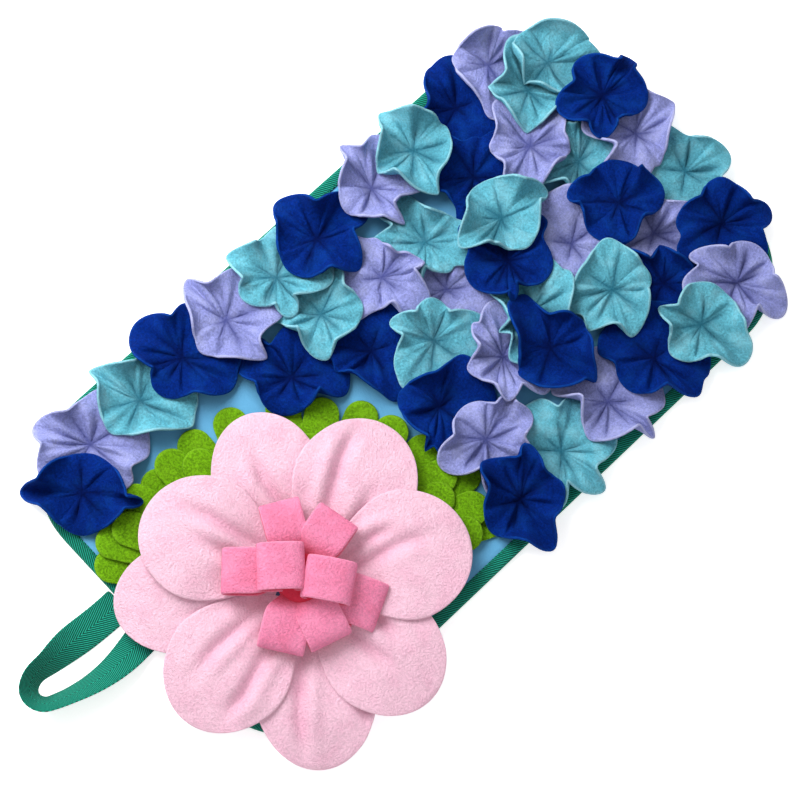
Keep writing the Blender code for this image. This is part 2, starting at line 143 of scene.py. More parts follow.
# %% [markdown]
# ## Shader maths
#
# A material here is a recipe of small sums: so much fuzz, so much paler at the cut edge. Wiring those by
# hand takes dozens of lines, so one small class lets a socket be used in a Python sum, and every
# operator adds the Math node that does it. Any other node comes from one method, which takes the
# node's type, its settings and what goes into its sockets.

# %% A recipe for a material
class Amount:
    """A number that changes over the surface, and can be used in sums."""

    def __init__(self, recipe, socket):
        self.recipe = recipe
        self.socket = socket

    def maths(self, operation, first, second=0.0):
        return self.recipe.node("ShaderNodeMath", {"operation": operation}, {0: first, 1: second})

    def __add__(self, other):
        return self.maths("ADD", self, other)

    def __sub__(self, other):
        return self.maths("SUBTRACT", self, other)

    def __rsub__(self, other):
        return self.maths("SUBTRACT", other, self)

    def __mul__(self, other):
        return self.maths("MULTIPLY", self, other)

    def __truediv__(self, other):
        return self.maths("DIVIDE", self, other)

    __radd__ = __add__
    __rmul__ = __mul__


class Recipe:
    """One material, and the nodes that are added to it."""

    def __init__(self, name):
        self.material = bpy.data.materials.new(name)
        self.material.use_nodes = True
        self.tree = self.material.node_tree
        self.shader = self.tree.nodes["Principled BSDF"]

    def put(self, target, value):
        if isinstance(value, Amount):
            self.tree.links.new(value.socket, target)
        else:
            target.default_value = value

    def node(self, kind, settings=None, inputs=None, output=0):
        made = self.tree.nodes.new(kind)
        for key, value in (settings or {}).items():
            if key == "stops":
                for element, (place, shade) in zip(made.color_ramp.elements, value):
                    element.position = place
                    element.color = (shade, shade, shade, 1)
            else:
                setattr(made, key, value)
        for socket, value in (inputs or {}).items():
            self.put(made.inputs[socket], value)
        return Amount(self, made.outputs[output])

    def mix(self, share, first, second):
        """A colour part way from the first to the second."""
        return self.node(
            "ShaderNodeMix", {"data_type": "RGBA"}, {0: share, 6: first, 7: second}, output=2
        )

    def noise(self, where, scale, detail=2.0, roughness=0.5):
        return self.node(
            "ShaderNodeTexNoise",
            {},
            {"Vector": where, "Scale": scale, "Detail": detail, "Roughness": roughness},
        )

    def between(self, value, low, high):
        """0 where the value is at or under low, 1 where it is at or over high, smooth between."""
        return self.node(
            "ShaderNodeMapRange",
            {"interpolation_type": "SMOOTHSTEP"},
            {"Value": value, "From Min": low, "From Max": high},
        )

    def finish(self, colour, roughness, height, lift):
        """Set the surface: its colour, its roughness, and how high its relief stands in metres."""
        self.put(self.shader.inputs["Base Color"], colour)
        self.put(self.shader.inputs["Roughness"], roughness)
        bump = self.node("ShaderNodeBump", {}, {"Strength": 1.0, "Distance": lift, "Height": height})
        self.put(self.shader.inputs["Normal"], bump)
        return self.material


def linear(red, green, blue):
    """A colour as a screen shows it, from 0 to 255, in the numbers that a shader takes."""
    shares = [channel / 255 for channel in (red, green, blue)]
    return (*[s / 12.92 if s <= 0.04045 else ((s + 0.055) / 1.055) ** 2.4 for s in shares], 1)


print("royal blue in a shader's numbers:", [round(value, 3) for value in linear(5, 40, 125)])

# %% [markdown]
# ## Fleece
#
# Polar fleece is a brushed knit: a felt of short, crimped fibres with no visible weave. From a step away
# it shows three things: a fine grain of light and dark tufts, a soft sheen where the surface turns away
# from the eye, and a paler, fluffier line along a cut edge. The grain is noise in the colour and in the
# bump, at two sizes; the sheen is the shader's own; the edge is read from how far out on its disc a
# point lies, which each mesh carries as an attribute called "out". A second attribute, "fold", says how
# much painted shade a point takes: in creases, in pleats, near a petal's root, under and at the necks of
# the loops and all over their root, the colour is mixed towards a darker shade of the fleece. The two
# pinks also give off a little painted light of their own.

# %% Mix the fleeces
TUFT = 620
FIBRE = 2300
CLOUD = 70
TUFT_LIFT = 0.0032
EDGE_FROM = 0.95
EDGE_TO = 1.0

# The last column is the strength of the painted light that a fleece gives off by itself.
Fleece = namedtuple("Fleece", "body deep edge sheen grain glow")
# The deep colour is the painted shade that "fold" mixes in; the clouds also take the colour a little
# towards it at random.
FLEECES = {
    "lavender": Fleece((148, 154, 214), (44, 50, 120), (196, 199, 238), 0.03, 0.12, 0.0),
    "aqua": Fleece((100, 182, 201), (2, 84, 108), (168, 222, 233), 0.03, 0.13, 0.0),
    "royal": Fleece((1, 38, 122), (0, 6, 54), (14, 74, 162), 0.0, 0.2, 0.0),
    "petal": Fleece((234, 188, 207), (212, 120, 160), (240, 198, 214), 0.02, 0.06, 0.16),
    "loop": Fleece((228, 130, 166), (206, 6, 40), (240, 154, 184), 0.03, 0.08, 0.2),
    "leaf": Fleece((110, 166, 18), (34, 76, 2), (132, 184, 34), 0.02, 0.22, 0.0),
}


def fleece(name):
    """A brushed knit in one of the mat's colours."""
    shades = FLEECES[name]
    recipe = Recipe(f"{name} fleece")
    where = recipe.node("ShaderNodeTexCoord", output=3)
    tufts = recipe.noise(where, TUFT, 3.0, 0.65)
    fibres = recipe.noise(where, FIBRE, 2.0, 0.6)
    clouds = recipe.noise(where, CLOUD, 2.0, 0.5)
    out = recipe.node("ShaderNodeAttribute", {"attribute_name": "out"}, output=2)
    fold = recipe.node("ShaderNodeAttribute", {"attribute_name": "fold"}, output=2)
    grain = recipe.between(tufts * 0.65 + fibres * 0.35, 0.36, 0.64)
    low = linear(*[channel * (1 - shades.grain) for channel in shades.body])
    high = linear(*[min(255, channel * (1 + 0.6 * shades.grain) + 2) for channel in shades.body])
    body = recipe.mix(grain, low, high)
    darker = recipe.mix(recipe.between(clouds, 0.55, 0.3) * 0.12, body, linear(*shades.deep))
    patchy = recipe.mix(recipe.between(clouds, 0.45, 0.7) * 0.22, darker, linear(*shades.edge))
    # Painted shade: where "fold" is high, the colour goes most of the way to the fleece's deep shade.
    deep = recipe.mix(fold * 0.85, patchy, linear(*shades.deep))
    edge = recipe.between(out + (tufts - 0.5) * 0.06, EDGE_FROM, EDGE_TO)
    colour = recipe.mix(edge * 0.5, deep, linear(*shades.edge))
    recipe.shader.inputs["Sheen Weight"].default_value = shades.sheen
    recipe.shader.inputs["Sheen Roughness"].default_value = 0.45
    recipe.shader.inputs["Specular IOR Level"].default_value = 0.05
    # Painted light: the petal and loop fleeces give off their own colour, an even fill in place of the
    # light that scatters in the thin pale cloth and bounces between the loops.
    if shades.glow:
        recipe.put(recipe.shader.inputs["Emission Color"], colour)
        recipe.shader.inputs["Emission Strength"].default_value = shades.glow
    height = tufts * 0.7 + fibres * 0.3
    return recipe.finish(colour, 0.92 + (tufts - 0.5) * 0.1, height, TUFT_LIFT)


finishes = {name: fleece(name) for name in FLEECES}
print("fleeces:", sorted(finishes))

# %% [markdown]
# ## Tape and base cloth
#
# The tape is a herringbone twill: fine ribs that run at a slant to its length and meet in a V along its
# middle. The ribs have to follow the tape round its loop, so they are worked out from the tape's own
# UV map, whose U runs along the tape and V across it, both in metres. The base cloth is a thin felted
# sheet with hardly any grain, so noise is enough for it.

# %% Weave the tape
RIB = 0.0016
RIB_SLANT = 0.5
RIB_LIFT = 0.001


def twill(name, body, deep):
    recipe = Recipe(name)
    where = recipe.node("ShaderNodeUVMap", {"uv_map": "tape"})
    along = recipe.node("ShaderNodeSeparateXYZ", {}, {0: where}, output=0)
    across = recipe.node("ShaderNodeSeparateXYZ", {}, {0: where}, output=1)
    off_middle = across.maths("ABSOLUTE", across)
    phase = (along * RIB_SLANT + off_middle) * (FULL_TURN / RIB)
    rib = phase.maths("SINE", phase) * 0.5 + 0.5
    threads = recipe.noise(recipe.node("ShaderNodeTexCoord", output=3), 1800, 2.0, 0.6)
    wear = recipe.noise(recipe.node("ShaderNodeTexCoord", output=3), 60, 2.0, 0.5)
    share = recipe.between(rib * 0.8 + threads * 0.4, 0.3, 0.9)
    woven = recipe.mix(share, linear(*deep), linear(*body))
    colour = recipe.mix(wear * 0.15, woven, linear(*deep))
    recipe.shader.inputs["Specular IOR Level"].default_value = 0.2
    return recipe.finish(colour, 0.72 + threads * 0.15, rib * 0.8 + threads * 0.2, RIB_LIFT)


def felt(name, body, deep):
    recipe = Recipe(name)
    where = recipe.node("ShaderNodeTexCoord", output=3)
    fuzz = recipe.noise(where, 1500, 3.0, 0.6)
    clouds = recipe.noise(where, 45, 2.0, 0.5)
    colour = recipe.mix(fuzz * 0.35 + clouds * 0.3, linear(*body), linear(*deep))
    return recipe.finish(colour, 0.9 + fuzz * 0.08, fuzz * 0.5 + clouds * 0.5, 0.0008)


finishes["tape"] = twill("herringbone tape", (26, 170, 142), (0, 64, 52))
finishes["base"] = felt("base felt", (98, 168, 208), (56, 124, 170))
finishes["thread"] = felt("sewing thread", (20, 120, 100), (10, 84, 70))
print("finishes:", sorted(finishes))

# %% [markdown]
# ## Tools for thin cloth
#
# Every sheet here starts as a flat piece, spun or laid out as a grid, whose points are then moved to
# where the folded cloth lies. Three helpers do what all of them need. One turns a mesh worked in
# millimetres into a finished piece, with its thickness and smoothing as modifiers. One remembers how
# high the pile of cloth already stands, so that each new sheet lies over what is under it instead of
# cutting through. One spreads each lift softly over the sheet, as cloth does when it is laid on a ridge.

# %% Turn a mesh into a finished piece
SMOOTHING = 1
collection = bpy.context.scene.collection


def add_piece(name, bm, finish, nodes, wall=0.0, smoothing=SMOOTHING):
    """Bring a mesh worked in millimetres to metres, and let it stand for its CAD nodes."""
    bmesh.ops.scale(bm, vec=(MM, MM, MM), verts=bm.verts[:])
    mesh = bpy.data.meshes.new(name)
    bm.to_mesh(mesh)
    bm.free()
    mesh.materials.append(finishes[finish])
    mesh.shade_smooth()
    piece = bpy.data.objects.new(name, mesh)
    collection.objects.link(piece)
    if wall:
        solid = piece.modifiers.new("wall", "SOLIDIFY")
        solid.thickness = wall * MM
        solid.offset = 0
    if smoothing:
        smooth = piece.modifiers.new("smooth", "SUBSURF")
        smooth.levels = smoothing
        smooth.render_levels = smoothing
    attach(piece, "root")
    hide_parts(*nodes)
    return piece


def mark(bm, name, values):
    """Give every point of a mesh a number that its material can read."""
    layer = bm.verts.layers.float.new(name)
    for vert, value in zip(bm.verts, values):
        vert[layer] = float(value)


# %% Remember how high the pile stands
CELL = 1.5
FIELD_LOW = np.array((-195.0, -395.0))
FIELD_CELLS = (260, 520)
FILL = 6
REST = 0.5
SPREAD_ROUNDS = 26
LIFT_SPREAD = 0.97
CALM_ROUNDS = 2


def smooth_step(value):
    share = np.clip(value, 0, 1)
    return share * share * (3 - 2 * share)


def refine(points, times, closed):
    """Fill a grid of points in between, so that no cell of the field is missed."""
    if closed:
        points = np.concatenate((points, points[:, :1]), axis=1)
    for axis in (0, 1):
        count = points.shape[axis]
        at = np.linspace(0, count - 1, (count - 1) * times + 1)
        low = np.minimum(at.astype(int), count - 2)
        share = (at - low)[:, None] if axis == 0 else (at - low)[None, :]
        start = np.take(points, low, axis=axis)
        end = np.take(points, low + 1, axis=axis)
        points = start + (end - start) * share[..., None]
    return points


def around_mean(lift, closed):
    """The mean of each lift's four neighbours on the sheet."""
    if closed:
        wide = np.concatenate((lift[:, -1:], lift, lift[:, :1]), axis=1)
    else:
        wide = np.pad(lift, ((0, 0), (1, 1)), mode="edge")
    tall = np.pad(lift, ((1, 1), (0, 0)), mode="edge")
    return (wide[:, :-2] + wide[:, 2:] + tall[:-2] + tall[2:]) / 4


class Pile:
    """The height of the highest cloth over each small square of the mat."""

    def __init__(self, ground):
        self.top = np.full(FIELD_CELLS, float(ground))

    def cells(self, points):
        found = ((points[..., :2] - FIELD_LOW) / CELL).astype(int)
        return np.clip(found[..., 0], 1, FIELD_CELLS[0] - 2), np.clip(found[..., 1], 1, FIELD_CELLS[1] - 2)

    def under(self, points):
        column, row = self.cells(points)
        around_it = [
            self.top[column + across, row + along] for across in (-1, 0, 1) for along in (-1, 0, 1)
        ]
        return np.max(around_it, axis=0)

    def add(self, points, wall, closed):
        fine = refine(points, FILL, closed)
        column, row = self.cells(fine)
        np.maximum.at(self.top, (column, row), fine[..., 2] + wall / 2)

    def settle(self, points, wall, closed):
        """Lift a sheet until it lies over the pile, and spread each lift softly around it."""
        need = self.under(points) + wall / 2 + REST - points[..., 2]
        lift = np.maximum(need, 0)
        for _ in range(SPREAD_ROUNDS):
            lift = np.maximum(need, np.maximum(around_mean(lift, closed) * LIFT_SPREAD, 0))
        for _ in range(CALM_ROUNDS):
            lift = around_mean(lift, closed)
        if closed:
            lift[0] = lift[0].mean()
        settled = points.copy()
        settled[..., 2] += lift
        self.add(settled, wall, closed)
        return settled


pile = Pile(BASE_TOP)
print("the field has", pile.top.size, "squares of", CELL, "mm")

# %% [markdown]
# ## Base cloth, binding and stitches
#
# The base is one flat felted sheet. Its edge is bound with tape, folded over it above and below and sewn
# through. The tape's section is a narrow U, so a few points of that U are spun round each corner and
# pulled along each side, as a bent strip would be fed round the mat. A Solidify modifier gives the tape
# its thickness afterwards, which keeps the fold round.

# %% Lay the base cloth
CORNER_STEPS = 12
BASE_INSET = TAPE_THICK + GAP
STEP_INSET = 14
STEP_RUN = 6


def rounded_sheet(width, length, corner):
    bm = bmesh.new()
    bmesh.ops.create_grid(bm, x_segments=1, y_segments=1, size=0.5)
    bmesh.ops.scale(bm, vec=(width, length, 1), verts=bm.verts[:])
    bmesh.ops.bevel(
        bm,
        geom=bm.verts[:],
        offset=corner,
        offset_type="OFFSET",
        segments=CORNER_STEPS,
        profile=0.5,
        affect="VERTICES",
        material=-1,
    )
    return bm


def lay_base():
    edge = BASE_INSET
    bm = rounded_sheet(MAT_WIDTH - 2 * edge, MAT_LENGTH - 2 * edge, MAT_CORNER - edge)
    for inset in (STEP_INSET - edge, STEP_RUN):
        middle = max(bm.faces, key=lambda face: face.calc_area())
        bmesh.ops.inset_region(
            bm, faces=[middle], thickness=inset, use_boundary=True, use_even_offset=True
        )
    middle = max(bm.faces, key=lambda face: face.calc_area())
    flat = set(middle.verts)
    for vert in bm.verts:
        vert.co.z = BASE_THICK / 2 + (0 if vert in flat else TAPE_THICK + GAP)
    bmesh.ops.triangulate(bm, faces=bm.faces[:])
    piece = add_piece("base_sheet", bm, "base", ["base_cloth"], wall=BASE_THICK, smoothing=0)
    return piece


base_sheet = lay_base()
print("base cloth:", [round(side, 3) for side in base_sheet.dimensions])

# %% Bind the edge
BINDING_SHOWS = 10
LOW_TAPE = TAPE_THICK / 2
HIGH_TAPE = 5.6 - TAPE_THICK / 2
FOLD_STEPS = 6
CORNER_SPINS = 14
SIDE_RUNS = 20
PUCKER = 0.25
CORNER_SIGNS = ((1, 1), (-1, 1), (-1, -1), (1, -1))


def tape_section():
    """Points of the U, from the inner edge above, round the fold, to the inner edge below."""
    middle = (LOW_TAPE + HIGH_TAPE) / 2
    half = (HIGH_TAPE - LOW_TAPE) / 2
    shown = [(inset, HIGH_TAPE) for inset in (BINDING_SHOWS, 7, 4.4)]
    fold = []
    for step in range(FOLD_STEPS + 1):
        turn = math.pi * step / FOLD_STEPS
        fold.append((half + TAPE_THICK / 2 - half * math.sin(turn), middle + half * math.cos(turn)))
    return shown + fold + [(inset, LOW_TAPE) for inset in (4.4, 7, BINDING_SHOWS)]


def bind_edge():
    """Feed the tape's section round the mat: along a side, round a corner, four times over."""
    section = tape_section()
    lengths = [0.0]
    for before, after in zip(section, section[1:]):
        lengths.append(lengths[-1] + math.dist(before, after))
    bm = bmesh.new()
    half_width = MAT_WIDTH / 2
    half_length = MAT_LENGTH / 2
    start = half_length - MAT_CORNER
    uv = bm.loops.layers.uv.new("tape")
    travelled = bm.verts.layers.float.new("travelled")
    across = bm.verts.layers.float.new("across")
    line = [bm.verts.new((half_width - inset, -start, height)) for inset, height in section]
    edges = [bm.edges.new(pair) for pair in zip(line, line[1:])]
    for vert, length in zip(line, lengths):
        vert[across] = length - lengths[-1] / 2
    ends = line + edges
    distance = 0.0
    turns = ((0, 1), (-1, 0), (0, -1), (1, 0))
    for number, (east, north) in enumerate(turns):
        run = 2 * (start if number % 2 == 0 else half_width - MAT_CORNER)
        for _ in range(SIDE_RUNS):
            strip = [item for item in ends if isinstance(item, bmesh.types.BMEdge)]
            ends = bmesh.ops.extrude_edge_only(bm, edges=strip)["geom"]
            moved = [item for item in ends if isinstance(item, bmesh.types.BMVert)]
            step = run / SIDE_RUNS
            distance += step
            bmesh.ops.translate(bm, verts=moved, vec=(east * step, north * step, 0))
            for vert in moved:
                vert[travelled] = distance
            ends = moved + [item for item in ends if isinstance(item, bmesh.types.BMEdge)]
        side, end = CORNER_SIGNS[number]
        corner = Vector((side * (half_width - MAT_CORNER), end * (half_length - MAT_CORNER), 0))
        for _ in range(CORNER_SPINS):
            made = bmesh.ops.spin(
                bm,
                geom=ends,
                cent=corner,
                axis=(0, 0, 1),
                angle=FULL_TURN / 4 / CORNER_SPINS,
                steps=1,
            )
            ends = made["geom_last"]
            distance += MAT_CORNER * FULL_TURN / 4 / CORNER_SPINS
            for item in ends:
                if isinstance(item, bmesh.types.BMVert):
                    item[travelled] = distance
    for face in bm.faces:
        furthest = max(loop.vert[travelled] for loop in face.loops)
        for loop in face.loops:
            along = loop.vert[travelled]
            if furthest - along > distance / 2:
                along += distance
            loop[uv].uv = (along * MM, loop.vert[across] * MM)
    bmesh.ops.remove_doubles(bm, verts=bm.verts[:], dist=0.05)
    bmesh.ops.recalc_face_normals(bm, faces=bm.faces[:])
    for vert in bm.verts:
        wave = math.sin(vert.co.x * 0.31 + vert.co.y * 0.23) + math.sin(vert.co.x * 0.11 - vert.co.y * 0.37)
        if vert.co.z > BASE_TOP:
            vert.co.z -= PUCKER * (0.5 + 0.25 * wave)
    piece = add_piece("bound_edge", bm, "tape", ["edge_binding"], wall=TAPE_THICK * 0.9)
    distance * MM
    return piece, distance


bound_edge, edge_length = bind_edge()
print(f"binding tape {edge_length:.0f} mm long, {TAPE_WIDTH} mm wide")

# %% Sew the binding down
STITCH_INSET = 8
STITCH_LONG = 3.2
STITCH_THICK = 0.45
STITCH_PITCH = 4.4


def outline_point(distance, inset):
    """A point of the mat's outline, drawn in by the inset, and the direction the outline runs there."""
    half_width = MAT_WIDTH / 2 - MAT_CORNER
    half_length = MAT_LENGTH / 2 - MAT_CORNER
    radius = MAT_CORNER - inset
    quarter = radius * FULL_TURN / 4
    corners = [(east * half_width, north * half_length) for east, north in CORNER_SIGNS]
    runs = (2 * half_length, 2 * half_width) * 2
    for number, (run, middle) in enumerate(zip(runs, corners)):
        facing = number * FULL_TURN / 4
        out = np.array((math.cos(facing), math.sin(facing)))
        ahead = np.array((-out[1], out[0]))
        if distance < run:
            return np.array(middle) + out * radius - ahead * (run - distance), facing
        distance -= run
        if distance < quarter:
            turn = facing + distance / radius
            return np.array(middle) + np.array((math.cos(turn), math.sin(turn))) * radius, turn
        distance -= quarter
    return outline_point(distance, inset)


def sew_binding():
    around_mat = 2 * (MAT_WIDTH + MAT_LENGTH - 4 * MAT_CORNER) + FULL_TURN * (MAT_CORNER - STITCH_INSET)
    count = round(around_mat / STITCH_PITCH)
    bm = bmesh.new()
    for number in range(count):
        point, turn = outline_point(around_mat * number / count, STITCH_INSET)
        made = bmesh.ops.create_uvsphere(bm, u_segments=6, v_segments=4, radius=0.5)["verts"]
        bmesh.ops.scale(bm, vec=(STITCH_THICK, STITCH_LONG, STITCH_THICK), verts=made)
        place = Matrix.Translation((*point, HIGH_TAPE + TAPE_THICK / 2)) @ Matrix.Rotation(turn, 4, "Z")
        bmesh.ops.transform(bm, matrix=place, verts=made)
    piece = add_piece("binding_stitches", bm, "thread", [], smoothing=0)
    return piece, count


binding_stitches, stitch_count = sew_binding()
print("stitches:", stitch_count)

# %% [markdown]
# ## The rosettes
#
# Each rosette is a round disc of fleece, gathered at its middle and stitched down, so its rim has far
# more length than the ring it ends in. The spare length stands up in a few ruffles, and between them
# the rim lies out flat. Drawing every rim point by point would take hundreds of numbers and would still
# not fold like cloth. So each rosette has one short row: its colour, where it is stitched in millimetres,
# which way its widest lobe points in degrees, its half length and half width, how many folds run from
# the stitch, and its place in the pile. The cloth's own length and the rosette's neighbours settle the
# rest.

# %% List the rosettes
Rosette = namedtuple("Rosette", "colour x y turn long cross folds level")
ROSETTES = (
    Rosette("royal", -95, -238, 217, 43, 26, 5, 1),
    Rosette("lavender", -118, -210, 222, 43, 31, 5, 0),
    Rosette("aqua", -118, -163, 202, 40, 28, 5, 1),
    Rosette("royal", -120, -119, 190, 42, 29, 5, 2),
    Rosette("lavender", -119, -77, 178, 40, 27, 5, 3),
    Rosette("aqua", -118, -28, 195, 38, 26, 6, 4),
    Rosette("royal", -119, 13, 181, 37, 28, 5, 5),
    Rosette("lavender", -121, 72, 171, 37, 25, 5, 6),
    Rosette("aqua", -120, 113, 166, 33, 26, 5, 7),
    Rosette("royal", -124, 162, 167, 34, 28, 5, 0),
    Rosette("lavender", -131, 202, 133, 30, 24, 5, 1),
    Rosette("aqua", -102, 236, 90, 34, 25, 5, 3),
    Rosette("aqua", -96, 209, 313, 29, 26, 5, 2),
    Rosette("royal", -55, 248, 95, 36, 29, 6, 3),
    Rosette("lavender", -17, 247, 92, 37, 27, 5, 1),
    Rosette("aqua", 29, 255, 72, 34, 26, 5, 0),
    Rosette("royal", 76, 246, 56, 36, 29, 5, 1),
    Rosette("lavender", 116, 222, 20, 40, 28, 5, 2),
    Rosette("aqua", 121, 177, 19, 39, 28, 5, 4),
    Rosette("royal", 115, 135, 11, 42, 29, 5, 2),
    Rosette("lavender", 115, 87, 2, 43, 29, 6, 1),
    Rosette("aqua", 118, 36, 3, 39, 28, 5, 0),
    Rosette("royal", 122, -11, 344, 42, 27, 6, 4),
    Rosette("royal", -76, 134, 217, 33, 27, 5, 0),
    Rosette("lavender", -63, 180, 327, 30, 27, 5, 1),
    Rosette("aqua", -31, 201, 212, 29, 27, 4, 0),
    Rosette("royal", 13, 197, 47, 33, 28, 5, 1),
    Rosette("lavender", 47, 203, 2, 31, 26, 4, 0),
    Rosette("lavender", 11, 152, 322, 39, 26, 6, 0),
    Rosette("royal", 79, 179, 327, 33, 26, 5, 1),
    Rosette("aqua", 57, 148, 332, 34, 28, 5, 3),
    Rosette("aqua", -38, 125, 87, 35, 26, 5, 7),
    Rosette("aqua", -63, 71, 167, 30, 27, 5, 1),
    Rosette("lavender", -65, 29, 217, 38, 27, 6, 1),
    Rosette("royal", -11, 106, 317, 34, 29, 5, 6),
    Rosette("lavender", -27, 59, 17, 32, 24, 5, 0),
    Rosette("aqua", 28, 94, 87, 37, 24, 5, 5),
    Rosette("aqua", -75, -23, 142, 31, 27, 5, 1),
    Rosette("royal", -56, -70, 37, 36, 27, 5, 0),
    Rosette("royal", -31, -14, 347, 34, 28, 5, 0),
    Rosette("aqua", -5, 24, 57, 35, 28, 6, 1),
    Rosette("lavender", 38, 54, 322, 33, 26, 6, 4),
    Rosette("royal", 58, 82, 2, 38, 26, 5, 5),
    Rosette("royal", 33, -6, 297, 33, 28, 5, 2),
    Rosette("lavender", 74, 1, 72, 35, 25, 5, 3),
)
for colour in ("royal", "aqua", "lavender"):
    print(colour, "rosettes:", sum(rosette.colour == colour for rosette in ROSETTES))

# %% [markdown]
# ## Where a rim lies
#
# Alone, a rosette would be an oval. In the pile its rim stops a little past halfway to each neighbour,
# and whichever of the two was sewn later lies on top. The lower one runs on flat underneath, where the
# eye can't follow it. Its ruffles stand in the directions between its lobes, never evenly.

# %% Find the rim among its neighbours
NEIGHBOUR_REACH = 90
FACING_LEAST = 0.2
LAP = 10
FULLER = 1.12
CRESTS_LEAST = 3
TUCK = 18
TUCK_MOST = 43
ROUND_OFF = 3
BUNCH = math.radians(15)
SCATTER = 0.2
ORDER = {rosette: (rosette.level, number) for number, rosette in enumerate(ROSETTES)}


def soften(values, rounds):
    """Average each value with its two neighbours round the disc."""
    for _ in range(rounds):
        values = (np.roll(values, 1) + 2 * values + np.roll(values, -1)) / 4
    return values


def rim_of(rosette, turns):
    """How far out the rim lies in each direction, and how much of it a higher neighbour hides."""
    away = turns - math.radians(rosette.turn)
    oval = np.hypot(np.cos(away) / rosette.long, np.sin(away) / rosette.cross)
    reach = np.minimum(FULLER / oval, DISC_RADIUS)
    hidden = np.zeros_like(turns)
    for other in ROSETTES:
        east, north = other.x - rosette.x, other.y - rosette.y
        apart = math.hypot(east, north)
        if other is rosette or apart > NEIGHBOUR_REACH:
            continue
        facing = np.maximum(np.cos(turns - math.atan2(north, east)), FACING_LEAST / 2)
        halfway = np.where(facing > FACING_LEAST, apart / 2 / facing, np.inf)
        if ORDER[other] > ORDER[rosette]:
            hidden = np.maximum(hidden, reach > halfway)
        reach = np.minimum(reach, halfway + LAP)
    return soften(reach, ROUND_OFF), soften(hidden * 1.0, ROUND_OFF)


def crest_turns(random, rosette):
    """Directions in which the rim stands up, closer together at the two long ends."""
    count = max(rosette.folds - 1, CRESTS_LEAST)
    even = (np.arange(count) + 0.5) * FULL_TURN / count
    scatter = random.uniform(-SCATTER, SCATTER, count) * FULL_TURN / count
    return np.sort((even - BUNCH * np.sin(2 * even) + scatter + math.radians(rosette.turn)) % FULL_TURN)


def phase_of(crests, turns):
    """How far along its wave each direction lies, from one crest to the next, and the wave's width."""
    starts = np.concatenate((crests[-1:] - FULL_TURN, crests, crests[:1] + FULL_TURN))
    turns = turns % FULL_TURN
    here = np.clip(np.searchsorted(starts, turns, side="right") - 1, 0, len(starts) - 2)
    width = starts[here + 1] - starts[here]
    return FULL_TURN * (turns - starts[here]) / width, width


# %% [markdown]
# ## Gathering a disc
#
# A cloth simulation could gather the discs, but 45 of them would take far longer than a script may, so
# the way the cloth settles is worked out spoke by spoke. A spoke starts at the stitch, ends at the rim,
# and bulges just enough that its length stays close to the flat disc's radius, because fleece folds but
# hardly stretches. Where the rim lies low the spoke puffs upwards. Where the rim stands up it scoops
# outwards first, like the side of a cup. The drawn thread leaves short sharp creases near the stitch.

# %% Bend the spokes
SPOKES = 80
RINGS = 12
STITCH_TOP = 2.4
CHORD_SHARE = 0.42
PUFF_FROM = 7
SCOOP_FROM = 14
PUFF_MOST = 14
SCOOP_MOST = 16
SCOOP_FLAT = 0.35
ARC_SAMPLES = 14
HALVINGS = 14
CREASE_DEPTH = 0.9
CREASE_WIDTH = 1.6
CREASE_SPREAD = 0.09
CREASE_APART = 60
LEAST_HEIGHT = 1.5
Crease = namedtuple("Crease", "turn run")


def curve(start, middle, end, share):
    """A point of a quadratic curve that leaves the start towards the middle and reaches the end."""
    return start * (1 - share) ** 2 + middle * 2 * share * (1 - share) + end * share**2


def bend_spokes(reach, rise, share):
    """Distance and height along each spoke, with its slack taken up in a puff or a scoop."""
    lean = smooth_step((rise - PUFF_FROM) / (SCOOP_FROM - PUFF_FROM))
    most = PUFF_MOST + (SCOOP_MOST - PUFF_MOST) * lean
    sample = np.linspace(0, 1, ARC_SAMPLES)[:, None]

    def place(bulge, at):
        middle_out = CHORD_SHARE * reach + bulge * (0.1 + 0.9 * lean)
        slope = CHORD_SHARE * (1 - SCOOP_FLAT * lean)
        middle_up = STITCH_TOP + slope * (rise - STITCH_TOP) + bulge * (1 - 0.97 * lean)
        return curve(0.0, middle_out, reach, at), curve(STITCH_TOP, middle_up, rise, at)

    low = np.zeros_like(reach)
    high = most.copy()
    for _ in range(HALVINGS):
        bulge = (low + high) / 2
        out, up_ = place(bulge, sample)
        length = np.hypot(np.diff(out, axis=0), np.diff(up_, axis=0)).sum(axis=0)
        low = np.where(length < CUT_DISC / 2, bulge, low)
        high = np.where(length < CUT_DISC / 2, high, bulge)
    return place((low + high) / 2, share)


def draw_creases(random):
    """Creases that the drawn thread leaves round the stitch: their directions and how far they run."""
    creases = []
    for turn in random.permutation(360 // CREASE_APART) * CREASE_APART:
        creases.append(Crease(math.radians(turn + random.uniform(-20, 20)), random.uniform(10, 26)))
    return creases


def valleys(creases, turns, out):
    """How deep in a crease each point lies, from 0 to 1."""
    left = np.ones_like(out)
    for crease in creases:
        apart = np.angle(np.exp(1j * (turns - crease.turn)))
        fade = 1 - smooth_step((out - 0.4 * crease.run) / crease.run)
        width = CREASE_WIDTH + CREASE_SPREAD * out
        left *= 1 - fade * np.exp(-np.abs(apart) * out / width)
    return 1 - left


# %% Gather one disc
CUT_DISC = 2 * DISC_RADIUS
CUT_AREA = math.pi * CUT_DISC**2 / 4
CLOTH_LEAST = 0.84
RIM_LOW = 3.0
RUFFLE_LEAST = 26
RUFFLE_MOST = 40
RUFFLE_TRIES = 6
RUFFLE_WEAKEST = 0.6
FLUTTER_GAIN = 1.6
DRAW_EASED = 0.8
LET_OUT = 0.2
CREST_SHARP = 0.9
CREST_DRAW = 0.42
PINCH = 0.62
LEAN = 0.42
FLUTTER = 3.0


